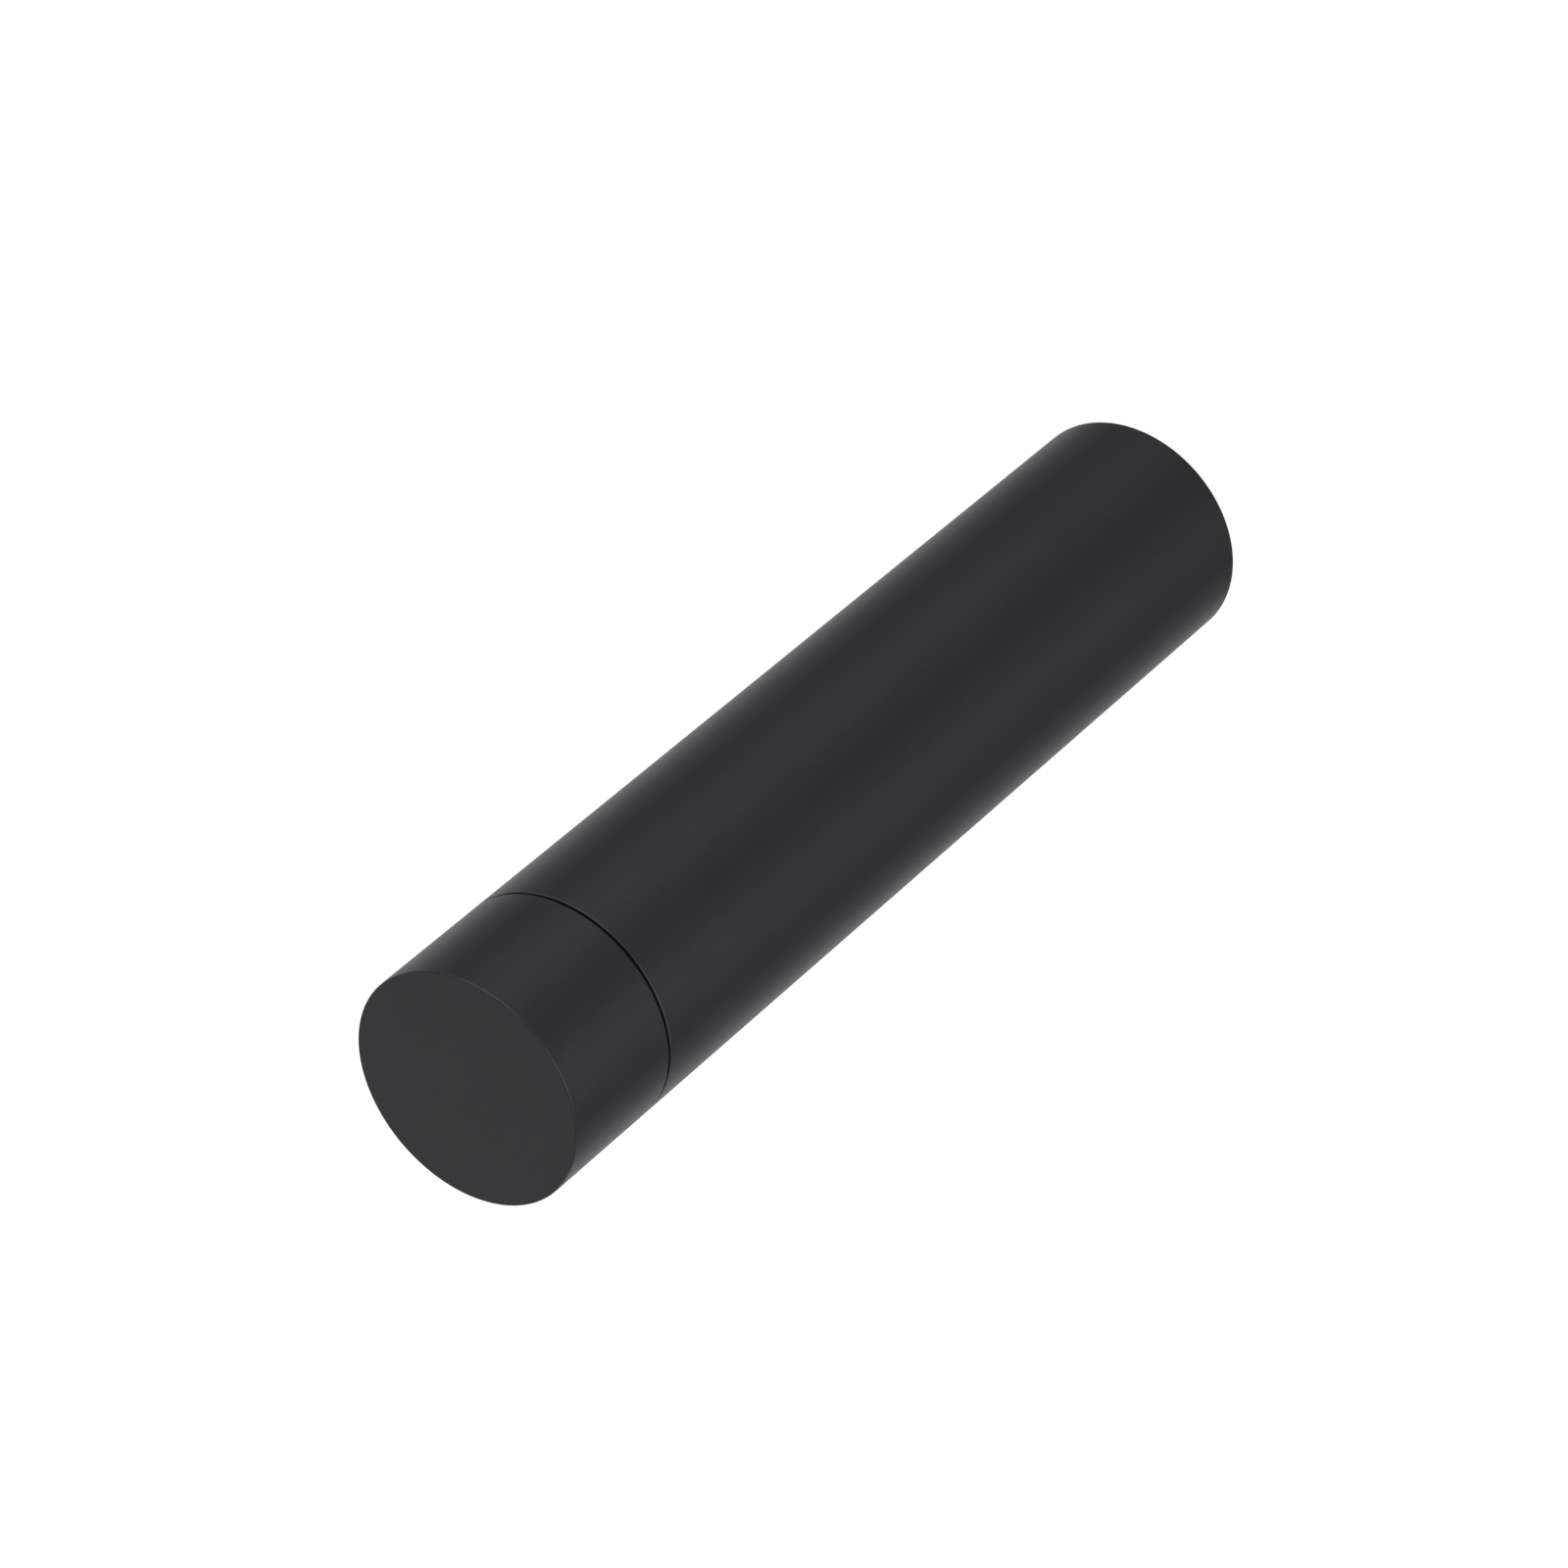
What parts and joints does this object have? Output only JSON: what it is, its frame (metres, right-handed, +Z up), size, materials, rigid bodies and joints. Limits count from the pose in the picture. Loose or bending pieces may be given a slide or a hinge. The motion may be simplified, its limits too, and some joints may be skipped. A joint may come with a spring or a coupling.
{
  "type": "shaving cream tube",
  "caption": "Slim rigid metal tube with a flush pull-off cap over an airless piston pump: button with side nozzle, sprung stem, inlet ball, inner cartridge and follower piston.",
  "frame": {"origin": "middle of the base, on the plane that the foot ring stands on", "axes": "+Z up the tube's axis towards the cap, +X the way that the nozzle points, +Y to the nozzle's left"},
  "size_m": [0.03, 0.03, 0.14],
  "materials": {
    "anodised_shell": "bead blasted and anodised satin black",
    "black_moulding": "fine spark-eroded black polypropylene",
    "button_moulding": "satin black polypropylene, soft to the touch",
    "nozzle_moulding": "polished black acetal",
    "valve_silicone": "translucent silicone",
    "gasket_foam": "white closed-cell polyethylene foam",
    "cartridge_moulding": "natural polypropylene, slightly milky",
    "pump_moulding": "natural polypropylene",
    "closure_moulding": "white polypropylene",
    "stem_moulding": "white acetal",
    "piston_moulding": "soft low-density polyethylene",
    "spring_steel": "drawn stainless wire",
    "ball_steel": "polished stainless steel",
    "shaving_cream": "dense white cream"
  },
  "bodies": {
    "body": {"body_sleeve": "anodised_shell", "cream_cartridge": "cartridge_moulding", "base_plug": "black_moulding", "neck_gasket": "gasket_foam", "pump_barrel": "pump_moulding", "ball_cage": "pump_moulding", "stem_guide": "pump_moulding", "neck_closure": "closure_moulding", "collar_insert": "black_moulding", "shoulder_collar": "anodised_shell", "cream_charge": "shaving_cream", "return_spring": "spring_steel"},
    "cap": {"cap_shell": "anodised_shell", "cap_liner": "black_moulding"},
    "pump_rod": {"pump_stem": "stem_moulding", "stem_piston": "piston_moulding"},
    "actuator": {"actuator_button": "button_moulding", "nozzle_tip": "nozzle_moulding", "outlet_valve": "valve_silicone"},
    "follower": {"follower_piston": "piston_moulding"},
    "ball": {"inlet_ball": "ball_steel"}
  },
  "joints": [
    {"name": "cap_pull", "type": "slide", "parent": "body", "child": "cap", "axis": [0, 0, 1], "range_m": [0, 0.03]},
    {"name": "actuator_press", "type": "slide", "parent": "body", "child": "pump_rod", "axis": [0, 0, -1], "range_m": [0, 0.0035], "stiffness_N_per_m": 1500, "springref_m": -0.004, "deforming": ["return_spring"]},
    {"name": "nozzle_swivel", "type": "hinge", "parent": "pump_rod", "child": "actuator", "pos_m": [0, 0, 0.1322], "axis": [0, 0, 1], "continuous": true},
    {"name": "follower_rise", "type": "slide", "parent": "body", "child": "follower", "axis": [0, 0, 1], "range_m": [0, 0.089], "deforming": ["cream_charge"]},
    {"name": "inlet_ball_lift", "type": "slide", "parent": "body", "child": "ball", "axis": [0, 0, 1], "range_m": [0, 0.0008]}
  ]
}
